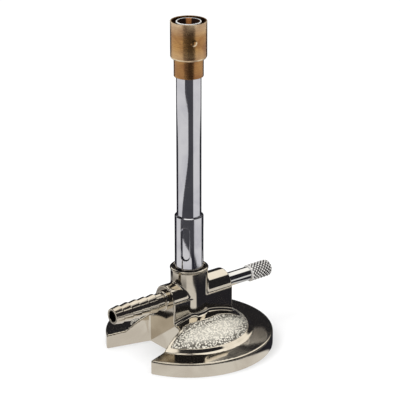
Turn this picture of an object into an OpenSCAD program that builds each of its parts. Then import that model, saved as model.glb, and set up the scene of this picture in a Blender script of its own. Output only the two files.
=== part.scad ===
// Bench gas burner: a notched round foot, a column with two arms, a hose nipple, a needle valve,
// a mixing tube with a turning air shutter, and a flame stabiliser on the tube's mouth.
// The mixing tube stands on the Z axis and the foot rests on Z = 0. The hose nipple points
// along -X and the valve knob along +X.

/* [Foot] */
// Radius of the round foot
base_r = 38.1; // [37:0.1:40]
// Height of the foot's upright rim
rim_h = 6.6; // [6:0.1:7]
// Inner radius of the flat ring that runs round the foot
ring_in_r = 29.2; // [28.8:0.1:30]
// Radius of the ball that the domed top is cut from
dome_ball_r = 48.5; // [47:0.5:52]
// Height of the dome's crown over the bench
dome_top = 16.9; // [16.5:0.1:17.5]
// Width of the ring that the foot stands on, and of the walls round the notch underneath
foot_wall = 3.5; // [2.5:0.1:5]
// Depth of the pocket underneath
pocket_h = 3; // [1:0.5:4]

/* [Notch] */
// Distance from the tube's axis to the notch's inner wall, where the inlet arm ends too
notch_x = 14; // [13:0.5:15]
// Half the width of the notch at its inner wall
notch_half = 11; // [10:0.5:12]
// Angle at which each side of the notch opens outwards
notch_flare = 15; // [10:1:20]

/* [Stippled field] */
// How far the stippled field lies below its smooth margins
field_drop = 0.3; // [0.1:0.1:0.5]
// Outer radius of the stippled field
field_r = 26.8; // [25.5:0.1:26.8]
// Width of the smooth margin beside the column and the arms
field_margin = 4; // [3:0.5:5]
// Width of the smooth margin along the notch
notch_margin = 1.8; // [1:0.2:3]

/* [Column and arms] */
// Radius of the upright column
column_r = 8.5; // [8.3:0.1:9]
// Height of the column's top
column_top = 37.5; // [37:0.1:40]
// Height of the gas line's axis
gas_z = 24.4; // [23.4:0.1:24.6]
// Radius of the arms' rounded tops
arch_r = 6.7; // [6.2:0.1:7]
// Width of the ledge where each arm's rounded top sits on its upright sides
ledge = 0.4; // [0.2:0.1:0.6]
// Distance from the tube's axis to the valve arm's end
valve_face_x = 19.5; // [19:0.5:21]

/* [Mixing tube] */
// Outer radius of the mixing tube
tube_r = 5.555; // [5.5:0.005:5.6]
// Bore radius of the mixing tube
tube_bore_r = 4.8; // [4.6:0.05:4.95]
// Height of the whole burner
burner_h = 151.7; // [140:0.1:165]
// Number of pilot holes under the stabiliser
pilot_count = 8; // [4:1:10]

/* [Air shutter] */
// Outer radius of the shutter
shutter_r = 6.5; // [6.3:0.05:6.7]
// Height of the shutter's top edge over the bench
shutter_top = 62.4; // [60:0.1:66]
// Number of air slots in the shutter, and of ports in the tube
slot_count = 3; // [2:1:3]
// Width of each air slot
slot_w = 4; // [3:0.1:4.4]
// Direction of the first slot, as an angle from +X
slot_angle = -144.5; // [-180:0.5:180]

/* [Flame stabiliser] */
// Outer radius of the cup
cup_r = 8.05; // [7.9:0.05:8.5]
// Height of the cup
cup_h = 16.5; // [15:0.1:20]
// Wall of the cup
cup_wall = 0.75; // [0.6:0.05:1]
// Outer radius of the sleeve under the cup
skirt_r = 6.55; // [6.3:0.05:7]
// Height of the sleeve under the cup
skirt_h = 8.3; // [6:0.1:12]

/* [Hose nipple] */
// Length of the nipple outside the inlet arm
nipple_len = 29; // [27.5:0.5:34]
// Radius of the barbs' crests
barb_r = 4.3; // [4.1:0.05:4.6]
// Height of each barb's step
barb_step = 0.5; // [0.3:0.05:0.6]
// Distance from one barb to the next
barb_pitch = 4.7; // [4:0.1:4.8]
// Bore radius of the nipple
nipple_bore_r = 2.6; // [2.2:0.1:2.8]

/* [Needle valve] */
// Radius of the valve's smooth stem
stem_r = 3.25; // [3.1:0.05:3.3]
// Distance from the tube's axis to the knob's inner end
knob_x = 34.2; // [34:0.1:40]
// Length of the knob
knob_len = 12.9; // [10:0.1:14]
// Radius of the knob
knob_r = 4; // [3.8:0.1:4.6]

/* [Hidden] */
$fn = 96;

// Foot
edge_r = 0.8;                 // rounding of the rim's top edge
ring_rise = 0.4;              // the flat ring climbs this much towards its inner edge
bevel_w = 1.9;                // width of the bevel between the ring and the dome
dome_centre_z = dome_top - dome_ball_r;
boss_r = 9.5;                 // pad under the column, level with the foot ring
past = 1;                     // how far a cut runs past the face it opens
margin_end = 3;               // smooth margin beyond the valve arm's end, and its corner radius

// Column
collar_bore_r = 7.2;          // recess that the shutter's lower end stands in
collar_floor = 35;
bead_h = 1.4;                 // bead round the collar's top
bead_out = 0.25;
socket_floor = 30;            // the mixing tube screws down to here
thread_gap = 0.025;           // radial gap that stands for a screwed joint
running_gap = 0.05;           // radial gap of a sliding stem

// Gas passages
seat_x = -1;                  // face that the needle closes on
seat_r = 1.2;
shank_len = 10;               // length of the nipple's threaded shank
shank_r = 4;
valve_thread_r = 3;
valve_thread_end = 10;        // the tapped bore's outer end
riser_r = 1.6;                // passage up to the jet
jet_thread_r = 2.5;
jet_thread_len = 2.4;

// Jet and washer
washer_h = 0.6;
washer_r = 4.2;
washer_gap = 0.1;             // radial gap round the jet's thread
jet_hex_r = 4.04;             // corner radius of a 7 mm hexagon
jet_hex_h = 3;
jet_tip_z = 41;
orifice_r = 0.4;

// Mixing tube
tube_top = burner_h - 0.3;
port_low = 42.1;
port_high = 57.8;
pilot_r = 0.6;
cup_floor_z = burner_h - cup_h;
cup_floor_t = 1.2;
pilot_z = cup_floor_z + cup_floor_t + 1.2;

// Valve: places along X at rest, with the valve closed
needle_tip_x = -2.6;
needle_slope = 0.5;           // radius gained per millimetre of cone
neck_x = 0;
groove_x = 14;                // inner side of the O-ring's groove
groove_w = 1.6;
groove_r = 1.96;
ring_wire_r = 0.64;           // radius of the O-ring's own section
ring_gap = 0.02;              // clear of the bore all round
ring_mid_r = stem_r + running_gap - ring_wire_r - ring_gap;
spigot_r = 2.5;               // reduced end of the stem that the knob is pressed on
spigot_end_x = knob_x + 8;
knob_dome_h = 1.9;

// Points along an arc about (cx, cy), from angle a0 to angle a1
function arc(cx, cy, r, a0, a1, steps) =
    [for (i = [0:steps]) let (a = a0 + (a1 - a0) * i / steps) [cx + r * cos(a), cy + r * sin(a)]];

// Lays a shape that was turned about Z along +X, at the height of the gas line
module along_gas_line() {
    translate([0, 0, gas_z]) rotate([0, 90, 0]) children();
}

// Plan of the notch, grown outwards by a margin
module notch_plan(grow) {
    reach = base_r + 10;
    inner_x = notch_x - grow;
    side = grow / cos(notch_flare);
    near_half = notch_half + side - grow * tan(notch_flare);
    far_half = notch_half + side + (reach - notch_x) * tan(notch_flare);
    polygon([[-inner_x, -near_half], [-inner_x, near_half], [-reach, far_half], [-reach, -far_half]]);
}

// Plan of the stippled field: a C that leaves smooth margins round everything else
module field_plan() {
    half = arch_r + ledge + field_margin;
    arm_end = valve_face_x + margin_end;
    difference() {
        circle(r = field_r);
        circle(r = column_r + field_margin);
        translate([-base_r, -half]) square([base_r, 2 * half]);
        translate([0, -half]) square([arm_end - margin_end, 2 * half]);
        translate([0, margin_end - half]) square([arm_end, 2 * (half - margin_end)]);
        for (side = [-1, 1])
            translate([arm_end - margin_end, side * (half - margin_end)]) circle(r = margin_end);
        notch_plan(notch_margin);
    }
}

// Foot with its rim, flat ring, bevel and dome
module foot_blank() {
    bevel_r = ring_in_r - bevel_w;
    rotate_extrude()
        polygon(concat(
            [[0, 0], [base_r, 0]],
            arc(base_r - edge_r, rim_h - edge_r, edge_r, 0, 90, 4),
            [[ring_in_r, rim_h + ring_rise]],
            arc(0, dome_centre_z, dome_ball_r, acos(bevel_r / dome_ball_r), 90, 12)));
}

// Everything that is cut out of the foot
module foot_cuts() {
    translate([0, 0, -past]) linear_extrude(height = dome_top + past) notch_plan(0);
    difference() {
        translate([0, 0, rim_h]) linear_extrude(height = dome_top) field_plan();
        translate([0, 0, dome_centre_z]) sphere(r = dome_ball_r - field_drop, $fn = 180);
    }
    difference() {
        translate([0, 0, -past]) cylinder(r = base_r - foot_wall, h = pocket_h + past);
        translate([0, 0, -2 * past]) cylinder(r = boss_r, h = pocket_h + 4 * past);
        translate([0, 0, -2 * past]) linear_extrude(height = pocket_h + 4 * past) notch_plan(foot_wall);
    }
}

// Both arms: a rounded top on slightly wider upright sides
module arms() {
    arm_len = notch_x + valve_face_x;
    half = arch_r + ledge;
    translate([-notch_x, 0, gas_z]) rotate([0, 90, 0]) cylinder(r = arch_r, h = arm_len);
    translate([-notch_x, -half, pocket_h + past]) cube([arm_len, 2 * half, gas_z - pocket_h - past]);
}

module column() {
    rotate_extrude()
        polygon([[0, pocket_h], [column_r, pocket_h], [column_r, column_top - bead_h],
                 [column_r + bead_out, column_top - bead_h + bead_out],
                 [column_r + bead_out, column_top - bead_out], [column_r, column_top], [0, column_top]]);
}

// Gas passages, the tapped holes and the seats of the tube, jet, nipple and spindle
module gas_passages() {
    shank_end = -notch_x + shank_len;
    translate([0, 0, collar_floor]) cylinder(r = collar_bore_r, h = column_top);
    translate([0, 0, socket_floor]) cylinder(r = tube_r + thread_gap, h = column_top);
    translate([0, 0, gas_z]) cylinder(r = riser_r, h = socket_floor - gas_z + past);
    translate([0, 0, socket_floor - jet_thread_len]) cylinder(r = jet_thread_r, h = jet_thread_len + past);
    along_gas_line() {
        translate([0, 0, -notch_x - past]) cylinder(r = shank_r + thread_gap, h = shank_len + past);
        translate([0, 0, shank_end - past]) cylinder(r = seat_r, h = seat_x - shank_end + 2 * past);
        translate([0, 0, seat_x])
            cylinder(r = valve_thread_r + running_gap, h = valve_thread_end - seat_x);
        translate([0, 0, valve_thread_end])
            cylinder(r = stem_r + running_gap, h = valve_face_x - valve_thread_end + past);
    }
}

module base_casting() {
    color("#c9c2b2")
        difference() {
            union() {
                difference() {
                    foot_blank();
                    foot_cuts();
                }
                arms();
                column();
            }
            gas_passages();
        }
}

// Hose nipple, turned about Z with its tip at +Z, then laid along -X
module hose_nipple() {
    first_crest = nipple_len - 4.1;
    crests = [for (i = [0:4]) first_crest - i * barb_pitch];
    tip_r = barb_r - 0.75;
    land = 0.4;                   // flat top of each barb
    step_slope = 0.1;             // lean of each barb's step
    ring_h = 2.2;                 // plain ring against the arm
    ring_r = barb_r + 0.3;
    tip_edge = 0.2;
    edge = 0.3;
    lead = 0.4;                   // bevel on the shank's end
    // Each barb climbs from its foot to a short land, then steps in on the side of the arm
    barbs = [for (z = crests)
        each [[barb_r, z + land], [barb_r, z], [barb_r - barb_step, z - step_slope]]];
    color("#cfc9bb")
        translate([-notch_x, 0, gas_z]) rotate([0, -90, 0])
            difference() {
                rotate_extrude()
                    polygon(concat(
                        [[0, -shank_len], [shank_r - lead, -shank_len]],
                        [[shank_r, lead - shank_len], [shank_r, 0]],
                        [[ring_r, 0], [ring_r, ring_h - edge], [ring_r - edge, ring_h]],
                        [[barb_r - barb_step, ring_h]],
                        [for (i = [len(barbs) - 1:-1:0]) barbs[i]],
                        [[tip_r, nipple_len - tip_edge], [tip_r - tip_edge, nipple_len], [0, nipple_len]]));
                translate([0, 0, -shank_len - past])
                    cylinder(r = nipple_bore_r, h = nipple_len + shank_len + 2 * past);
            }
}

module gas_jet() {
    hex_low = socket_floor + washer_h;
    hex_top = hex_low + jet_hex_h;
    jet_bottom = socket_floor - jet_thread_len;
    bore_r = 1.3;
    cone_low = jet_tip_z - 2.5;   // the bore narrows to the orifice from here
    cone_h = 1.2;
    shoulder_r = 3.2;
    neck_r = 1.7;
    tip_r = 1.2;
    tip_h = 0.8;
    color("#c99a3c")
        difference() {
            union() {
                translate([0, 0, jet_bottom])
                    cylinder(r = jet_thread_r - thread_gap, h = jet_thread_len + washer_h + past);
                translate([0, 0, hex_low]) cylinder(r = jet_hex_r, h = jet_hex_h, $fn = 6);
                rotate_extrude()
                    polygon([[0, hex_top - past], [shoulder_r, hex_top - past], [shoulder_r, hex_top],
                             [neck_r, jet_tip_z - tip_h], [tip_r, jet_tip_z], [0, jet_tip_z]]);
            }
            rotate_extrude()
                polygon([[0, jet_bottom - past], [bore_r, jet_bottom - past], [bore_r, cone_low],
                         [orifice_r, cone_low + cone_h], [orifice_r, jet_tip_z + past], [0, jet_tip_z + past]]);
        }
}

module jet_washer() {
    color("#8c3b2a")
        translate([0, 0, socket_floor])
            difference() {
                cylinder(r = washer_r, h = washer_h);
                translate([0, 0, -past]) cylinder(r = jet_thread_r + washer_gap, h = washer_h + 2 * past);
            }
}

// Round-ended slots through a wall, set evenly round the Z axis
module slots(first_angle) {
    low = port_low + slot_w / 2;
    high = port_high - slot_w / 2;
    for (i = [0:slot_count - 1])
        rotate([0, 0, first_angle + i * 360 / slot_count])
            rotate([0, 90, 0])
                linear_extrude(height = shutter_r + past) {
                    translate([-high, -slot_w / 2]) square([high - low, slot_w]);
                    for (z = [low, high]) translate([-z, 0]) circle(d = slot_w);
                }
}

module mixing_tube() {
    color("#b9bcc6")
        difference() {
            translate([0, 0, socket_floor]) cylinder(r = tube_r, h = tube_top - socket_floor);
            translate([0, 0, socket_floor - past]) cylinder(r = tube_bore_r, h = burner_h);
            slots(slot_angle + 180 / slot_count);
            for (i = [0:pilot_count - 1])
                rotate([0, 0, i * 360 / pilot_count])
                    translate([0, 0, pilot_z]) rotate([0, 90, 0]) cylinder(r = pilot_r, h = cup_r);
        }
}

module air_shutter() {
    floor_gap = 0.3;
    turning_gap = 0.065;          // radial gap that the shutter turns in
    low = collar_floor + floor_gap;
    bore = tube_r + turning_gap;
    chamfer = 0.4;
    color("#aeb2c0")
        difference() {
            rotate_extrude()
                polygon([[bore, low], [shutter_r, low], [shutter_r, shutter_top - chamfer],
                         [shutter_r - chamfer, shutter_top], [bore, shutter_top]]);
            slots(slot_angle);
        }
}

module flame_stabiliser() {
    skirt_low = cup_floor_z - skirt_h;
    seat_gap = 0.015;
    bore = tube_r + seat_gap;
    chamfer = 0.4;
    lip = 0.15;
    dent_ball_r = 3.9;
    dent_depth = 0.3;
    dent_z = burner_h - 8.1;
    dent_angle = -111;
    start_angle = 30;             // the turning starts away from the dent
    color("#b0782c")
        difference() {
            rotate([0, 0, start_angle]) rotate_extrude()
                polygon([[bore, skirt_low], [skirt_r - lip, skirt_low], [skirt_r, skirt_low + lip],
                         [skirt_r, cup_floor_z], [cup_r - chamfer, cup_floor_z], [cup_r, cup_floor_z + chamfer],
                         [cup_r, burner_h - lip], [cup_r - lip, burner_h],
                         [cup_r - cup_wall, burner_h], [cup_r - cup_wall, cup_floor_z + cup_floor_t],
                         [bore, cup_floor_z + cup_floor_t]]);
            rotate([0, 0, dent_angle])
                translate([cup_r + dent_ball_r - dent_depth, 0, dent_z]) sphere(r = dent_ball_r);
        }
}

// Needle, tapped length, stem and spigot in one turning
module valve_spindle() {
    seat_gap = 0.03;              // the needle closes just short of its seat
    tip_r = seat_r - seat_gap - needle_slope * (seat_x - needle_tip_x);
    neck_r = seat_r - seat_gap + needle_slope * (neck_x - seat_x);
    thread_low = 3.2;
    relief_r = 2.4;
    relief_end = 12.6;
    color("#d8d8da")
        along_gas_line()
            rotate_extrude()
                polygon([[0, needle_tip_x], [tip_r, needle_tip_x], [neck_r, neck_x], [neck_r, thread_low],
                         [valve_thread_r, thread_low], [valve_thread_r, valve_thread_end],
                         [relief_r, valve_thread_end], [relief_r, relief_end],
                         [stem_r, relief_end], [stem_r, groove_x], [groove_r, groove_x],
                         [groove_r, groove_x + groove_w], [stem_r, groove_x + groove_w], [stem_r, knob_x],
                         [spigot_r - thread_gap, knob_x], [spigot_r - thread_gap, spigot_end_x],
                         [0, spigot_end_x]]);
}

module spindle_o_ring() {
    color("#202020")
        along_gas_line()
            translate([0, 0, groove_x + groove_w / 2])
                rotate_extrude() translate([ring_mid_r, 0]) circle(r = ring_wire_r, $fn = 32);
}

module valve_knob() {
    knob_end = knob_x + knob_len;
    bevel = 0.5;
    spigot_room = 0.2;            // the knob's hole runs on past the spigot
    dome_z = knob_end - knob_dome_h;
    dome_step = 15;
    // The outer end is half an ellipse
    dome = [for (a = [0:dome_step:90]) [knob_r * cos(a), dome_z + knob_dome_h * sin(a)]];
    color("#d5d2cc")
        along_gas_line()
            difference() {
                rotate_extrude()
                    polygon(concat([[0, knob_x], [knob_r - bevel, knob_x], [knob_r, knob_x + bevel]], dome));
                translate([0, 0, knob_x - past])
                    cylinder(r = spigot_r, h = spigot_end_x - knob_x + past + spigot_room);
            }
}

base_casting();
hose_nipple();
gas_jet();
jet_washer();
mixing_tube();
air_shutter();
flame_stabiliser();
valve_spindle();
spindle_o_ring();
valve_knob();
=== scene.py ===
import math

import bpy
import numpy as np
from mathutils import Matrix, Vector


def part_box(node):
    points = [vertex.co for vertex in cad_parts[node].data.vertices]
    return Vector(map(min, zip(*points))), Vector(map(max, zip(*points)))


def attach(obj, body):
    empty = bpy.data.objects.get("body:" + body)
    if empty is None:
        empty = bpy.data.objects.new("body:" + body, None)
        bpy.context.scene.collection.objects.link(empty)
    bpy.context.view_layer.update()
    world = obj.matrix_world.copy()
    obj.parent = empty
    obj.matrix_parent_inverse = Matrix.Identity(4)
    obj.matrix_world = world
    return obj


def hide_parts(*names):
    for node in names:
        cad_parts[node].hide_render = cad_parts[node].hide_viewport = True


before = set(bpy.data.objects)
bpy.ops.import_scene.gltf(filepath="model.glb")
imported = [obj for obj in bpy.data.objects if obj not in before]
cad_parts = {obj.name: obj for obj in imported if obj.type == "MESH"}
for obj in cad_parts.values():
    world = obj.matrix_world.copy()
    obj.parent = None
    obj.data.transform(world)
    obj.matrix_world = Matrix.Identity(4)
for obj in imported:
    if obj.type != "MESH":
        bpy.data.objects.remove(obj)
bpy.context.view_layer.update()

mm = 0.001

# Every shape below is worked out in millimetres, in the same frame as the CAD, and scaled once in makeMesh.


def boxOf(node):
    # The lowest and highest corner of a CAD node's box, in millimetres
    low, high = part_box(node)
    return np.array(low) / mm, np.array(high) / mm


def makeMesh(name, points, triangles, cornerNormals):
    # A mesh from whole arrays: triangle corners carry their own exact normals
    mesh = bpy.data.meshes.new(name)
    mesh.vertices.add(len(points))
    mesh.vertices.foreach_set("co", (points * mm).astype(np.float32).ravel())
    mesh.loops.add(len(triangles) * 3)
    mesh.loops.foreach_set("vertex_index", triangles.astype(np.int32).ravel())
    mesh.polygons.add(len(triangles))
    mesh.polygons.foreach_set("loop_start", np.arange(0, len(triangles) * 3, 3, dtype=np.int32))
    mesh.update(calc_edges=True)
    mesh.shade_smooth()
    mesh.normals_split_custom_set(cornerNormals.reshape(-1, 3))
    piece = bpy.data.objects.new(name, mesh)
    bpy.context.scene.collection.objects.link(piece)
    return piece


def meshPoints(piece):
    # A piece's vertices as one array, in millimetres
    points = np.empty(len(piece.data.vertices) * 3, dtype=np.float32)
    piece.data.vertices.foreach_get("co", points)
    return points.reshape(-1, 3) / mm


def addMask(piece, name, values):
    # One number for each vertex, which a material reads by its name
    piece.data.attributes.new(name, "FLOAT", "POINT").data.foreach_set("value", values.astype(np.float32))


def joinPatches(name, patches):
    # Each patch is a grid of points with a grid of normals. Quads between neighbours become two
    # triangles each, turned to face the way of their normals; equal corners are merged into one.
    points, normals, faces, offset = [], [], [], 0
    for grid, gridNormals in patches:
        rows, cols = grid.shape[:2]
        index = offset + np.arange(rows * cols).reshape(rows, cols)
        a, b, c, d = index[:-1, :-1], index[1:, :-1], index[1:, 1:], index[:-1, 1:]
        faces.append(np.stack([a, b, c], -1).reshape(-1, 3))
        faces.append(np.stack([a, c, d], -1).reshape(-1, 3))
        points.append(grid.reshape(-1, 3))
        normals.append(gridNormals.reshape(-1, 3))
        offset += rows * cols
    points, normals, faces = np.concatenate(points), np.concatenate(normals), np.concatenate(faces)
    keys = np.round(points / 1e-4).astype(np.int64)
    _, first, same = np.unique(keys, axis=0, return_index=True, return_inverse=True)
    same = same.reshape(-1)
    merged = same[faces]
    whole = (merged[:, 0] != merged[:, 1]) & (merged[:, 1] != merged[:, 2]) & (merged[:, 2] != merged[:, 0])
    faces, merged = faces[whole], merged[whole]
    corners = points[faces]
    facing = np.cross(corners[:, 1] - corners[:, 0], corners[:, 2] - corners[:, 0])
    away = (facing * normals[faces].sum(1)).sum(1) < 0
    faces[away], merged[away] = faces[away][:, ::-1], merged[away][:, ::-1]
    return makeMesh(name, points[first], merged, normals[faces])


def roundedProfile(corners, closed=True, steps=5):
    # A polyline run anticlockwise, each corner (x, y, radius) replaced by an arc of that radius.
    # Gives points and outward normals: an edge's normal is its direction turned right by 90 degrees,
    # and along an arc the normal turns evenly from one edge's to the next one's.
    spots = np.array([c[:2] for c in corners], float)
    count = len(spots)
    outPoints, outNormals = [], []
    for i, (x, y, radius) in enumerate(corners):
        here = spots[i]
        if not closed and i in (0, count - 1):
            other = spots[1] - here if i == 0 else here - spots[-2]
            other = other / np.linalg.norm(other)
            outPoints.append([here])
            outNormals.append([[other[1], -other[0]]])
            continue
        arrive, leave = here - spots[i - 1], spots[(i + 1) % count] - here
        arrive, leave = arrive / np.linalg.norm(arrive), leave / np.linalg.norm(leave)
        turn = math.atan2(arrive[0] * leave[1] - arrive[1] * leave[0], arrive @ leave)
        side = math.copysign(1, turn)
        startNormal = np.array([arrive[1], -arrive[0]])
        start = here - arrive * radius * math.tan(abs(turn) / 2)
        centre = start - side * radius * startNormal
        angles = np.linspace(0, turn, steps + 1)
        turned = np.stack([startNormal[0] * np.cos(angles) - startNormal[1] * np.sin(angles),
                           startNormal[0] * np.sin(angles) + startNormal[1] * np.cos(angles)], -1)
        outPoints.append(centre + side * radius * turned)
        outNormals.append(turned)
    points, normals = np.concatenate(outPoints), np.concatenate(outNormals)
    if closed:
        points, normals = np.vstack([points, points[:1]]), np.vstack([normals, normals[:1]])
    return points, normals


def turned(profile, normals, angles):
    # The profile (radius, height) carried round the Z axis: x = r cos a, y = r sin a, z = height
    radius, height = profile[:, 0][:, None], profile[:, 1][:, None]
    spread, lift = normals[:, 0][:, None], normals[:, 1][:, None]
    cosA, sinA = np.cos(angles)[None, :], np.sin(angles)[None, :]
    points = np.stack([radius * cosA, radius * sinA, height + 0 * cosA], -1)
    return points, np.stack([spread * cosA, spread * sinA, lift + 0 * cosA], -1)


def fullTurn(count, start=0.0):
    # Even angles once round, with the first one repeated at the end
    return start + np.linspace(0, 2 * math.pi, count + 1)


def layAlongX(points, normals, gasHeight, sign):
    # Turns a shape made about +Z so that its +Z runs along +X or -X at the gas line's height
    def swap(v):
        # Z becomes X, and X becomes Z turned over, both with the sign
        return np.stack([sign * v[..., 2], v[..., 1], -sign * v[..., 0]], -1)
    return swap(points) + np.array([0, 0, gasHeight]), swap(normals)


footHigh = boxOf("base_casting")[1]
casting = {
    "footRadius": footHigh[1],
    "rimHeight": 6.6, "rimEdge": 0.8, "ringRise": 0.4, "ringInner": 29.2, "bevelWidth": 1.9,
    "domeBall": 48.5, "domeTop": 16.9,
    "notchWall": 14.0, "notchHalf": 11.0, "notchFlare": math.radians(15), "notchEdge": 0.45,
    "notchCorner": 0.6, "notchMargin": 1.8,
    "fieldOuter": 26.8, "fieldDrop": 0.3, "fieldMargin": 4.0, "fieldRamp": 0.35,
    "inletReach": 40.0, "inletCorner": 0.5, "valveCorner": 3.0, "bodyRound": 1.5, "marginRound": 1.0,
    "fieldRound": 0.8, "columnRadius": 8.45, "columnTop": footHigh[2], "lipRadius": 0.5, "lipOuter": 8.75,
    "lipDrop": 0.1, "collarBore": 7.2, "collarFloor": 35.0, "collarEdge": 0.25,
    "gasHeight": 24.4, "archRadius": 6.7, "ledge": 0.4, "ledgeEdge": 0.3, "valveFace": 19.5, "armShift": 0.5,
    "armEdge": 0.5, "bodyFillet": 1.4, "armFillet": 0.7, "footFillet": 0.5, "seam": 0.12, "softEdge": 0.4,
    "tubeBore": 5.6, "tubeSeat": 30.0, "riserBore": 1.6, "nippleBore": 4.05, "nippleSeat": -4.0,
    "needleBore": 1.3, "needleBoreLength": 5.0, "stemBore": 3.4, "stemSeat": -1.0,
    "pocketDepth": 3.0, "footWall": 3.5, "bossRadius": 9.5, "cell": 0.45,
    "topBand": 0.6, "stippleFade": (0.1, -0.35), "edgeFade": (-5.5, -0.5),
}
gasHeight = casting["gasHeight"]


def roundUnion(a, b, radius):
    # Both solids together, with a fillet of the given radius where they meet
    u, v = np.maximum(radius - a, 0), np.maximum(radius - b, 0)
    return np.maximum(radius, np.minimum(a, b)) - np.sqrt(u * u + v * v)


def roundBoth(a, b, radius):
    # What both solids share, with its edge rounded to the given radius
    u, v = np.maximum(radius + a, 0), np.maximum(radius + b, 0)
    return np.minimum(-radius, np.maximum(a, b)) + np.sqrt(u * u + v * v)


def smoothStep(low, high, value):
    # 0 up to low and 1 from high, and between them 3 t squared less 2 t cubed
    t = np.clip((value - low) / (high - low), 0, 1)
    return t * t * (3 - 2 * t)


def flatBox(x, y, centreX, halfX, halfY, corner):
    # Signed distance to a flat rectangle with rounded corners: the length of what lies past the
    # inset sides, or the nearer side's own distance where nothing does, less the corner's radius
    dx, dy = np.abs(x - centreX) - halfX + corner, np.abs(y) - halfY + corner
    return np.hypot(np.maximum(dx, 0), np.maximum(dy, 0)) + np.minimum(np.maximum(dx, dy), 0) - corner


def notchDistance(x, y):
    # Less than zero inside the notch: left of its inner wall and between its flared sides
    c = casting
    side = np.abs(y) - c["notchHalf"] + (x + c["notchWall"]) * math.tan(c["notchFlare"])
    return roundBoth(x + c["notchWall"], side * math.cos(c["notchFlare"]), c["notchCorner"])


def fieldPlan(x, y):
    # Less than zero on the stippled field: a ring cut by the margins of the body and of the notch
    c = casting
    half = c["archRadius"] + c["ledge"] + c["fieldMargin"]
    radius = np.hypot(x, y)
    inlet = flatBox(x, y, -c["inletReach"] / 2, c["inletReach"] / 2, half, c["inletCorner"])
    reach = (c["valveFace"] + c["valveCorner"]) / 2
    valve = flatBox(x, y, reach, reach, half, c["valveCorner"])
    body = roundUnion(np.minimum(inlet, valve), radius - c["columnRadius"] - c["fieldMargin"], c["bodyRound"])
    body = roundUnion(body, notchDistance(x, y) - c["notchMargin"], c["marginRound"])
    return roundBoth(radius - c["fieldOuter"], -body, c["fieldRound"])


def castingDistance(x, y, z):
    # Signed distance to the casting, built as it is made: foot, dome, column and arms run into each
    # other with fillets, then the notch, the bores and the pocket are cut
    c = casting
    radius = np.hypot(x, y)
    slope = c["ringRise"] / (c["footRadius"] - c["rimEdge"] - c["ringInner"])
    ring = z - c["rimHeight"] - slope * (c["footRadius"] - c["rimEdge"] - radius)
    ring = ring / math.hypot(1, slope)
    ballCentre = c["domeTop"] - c["domeBall"]
    bevelInner = c["ringInner"] - c["bevelWidth"]
    bevelRise = ballCentre + math.sqrt(c["domeBall"] ** 2 - bevelInner ** 2) - c["rimHeight"] - c["ringRise"]
    bevel = (radius - c["ringInner"]) * bevelRise + (z - c["rimHeight"] - c["ringRise"]) * c["bevelWidth"]
    bevel = bevel / math.hypot(bevelRise, c["bevelWidth"])
    ball = np.sqrt(radius ** 2 + (z - ballCentre) ** 2) - c["domeBall"]
    ramp = c["fieldRamp"]
    ball = ball + c["fieldDrop"] * smoothStep(ramp, -ramp, fieldPlan(x, y))
    foot = roundUnion(roundBoth(ball, bevel, c["footFillet"]), ring, c["footFillet"])
    foot = roundBoth(foot, radius - c["footRadius"], c["rimEdge"])

    across, above = np.abs(y), z - c["gasHeight"]
    arch = np.hypot(y, above) - c["archRadius"]
    web = roundBoth(across - c["archRadius"] - c["ledge"], above, c["ledgeEdge"])
    armEnds = np.abs(x - c["armShift"]) - c["valveFace"] + c["armShift"]
    arms = roundBoth(roundUnion(arch, web, c["seam"]), armEnds, c["armEdge"])

    top = c["columnTop"]
    column = roundBoth(radius - c["columnRadius"], z - top, c["softEdge"])
    lip = np.hypot(radius - c["lipOuter"] + c["lipRadius"], z - top + c["lipRadius"] + c["lipDrop"])
    body = roundUnion(roundUnion(column, lip - c["lipRadius"], c["seam"]), arms, c["armFillet"])
    solid = roundUnion(body, foot, c["bodyFillet"])

    notch = notchDistance(x, y)
    solid = roundBoth(solid, -notch, c["notchEdge"])
    gasLine = np.hypot(y, above)
    halfBore = c["needleBoreLength"] / 2
    for bore in (np.maximum(radius - c["tubeBore"], c["tubeSeat"] - z),
                 np.maximum(radius - c["riserBore"], -above),
                 np.maximum(gasLine - c["nippleBore"], x - c["nippleSeat"]),
                 np.maximum(gasLine - c["needleBore"], np.abs(x + halfBore) - halfBore),
                 np.maximum(gasLine - c["stemBore"], c["stemSeat"] - x)):
        solid = np.maximum(solid, -bore)
    collar = np.maximum(radius - c["collarBore"], c["collarFloor"] - z)
    solid = roundBoth(solid, -collar, c["collarEdge"])
    pocket = np.maximum(radius - c["footRadius"] + c["footWall"], z - c["pocketDepth"])
    pocket = np.maximum(np.maximum(pocket, c["bossRadius"] - radius), c["footWall"] - notch)
    return roundBoth(roundBoth(solid, -z, c["softEdge"]), -pocket, c["softEdge"])


def gradientOf(distance, points, step=0.02):
    # The distance a step ahead less the distance a step behind, over two steps, along each axis
    x, y, z = points.T
    return np.stack([
        distance(x + step, y, z) - distance(x - step, y, z),
        distance(x, y + step, z) - distance(x, y - step, z),
        distance(x, y, z + step) - distance(x, y, z - step)], -1) / (2 * step)


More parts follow.
